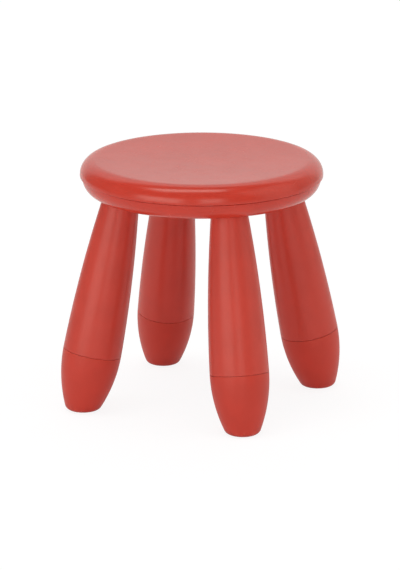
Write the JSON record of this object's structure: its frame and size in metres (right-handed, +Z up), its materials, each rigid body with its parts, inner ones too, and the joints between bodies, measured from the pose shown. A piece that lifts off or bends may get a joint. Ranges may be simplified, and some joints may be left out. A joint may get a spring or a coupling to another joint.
{
  "type": "childrens stool",
  "caption": "Low round children's stool in moulded plastic: a shallow dished seat of joined shells on splayed, tapered legs that end in rounded feet.",
  "frame": {"origin": "on the floor, under the middle of the seat", "axes": "+Z up along the stool's axis, -Y to the front, +X to the right; the legs lean out along the diagonals between X and Y"},
  "size_m": [0.2924, 0.2924, 0.3],
  "materials": {
    "seat": "red polypropylene, satin gloss",
    "leg": "red polypropylene, satin gloss",
    "foot": "red polypropylene, satin"
  },
  "bodies": {
    "root": {"seat_top": "seat", "seat_base": "seat", "leg_front_left": "leg", "leg_front_right": "leg", "leg_rear_left": "leg", "leg_rear_right": "leg", "foot_front_left": "foot", "foot_front_right": "foot", "foot_rear_left": "foot", "foot_rear_right": "foot"}
  },
  "joints": []
}
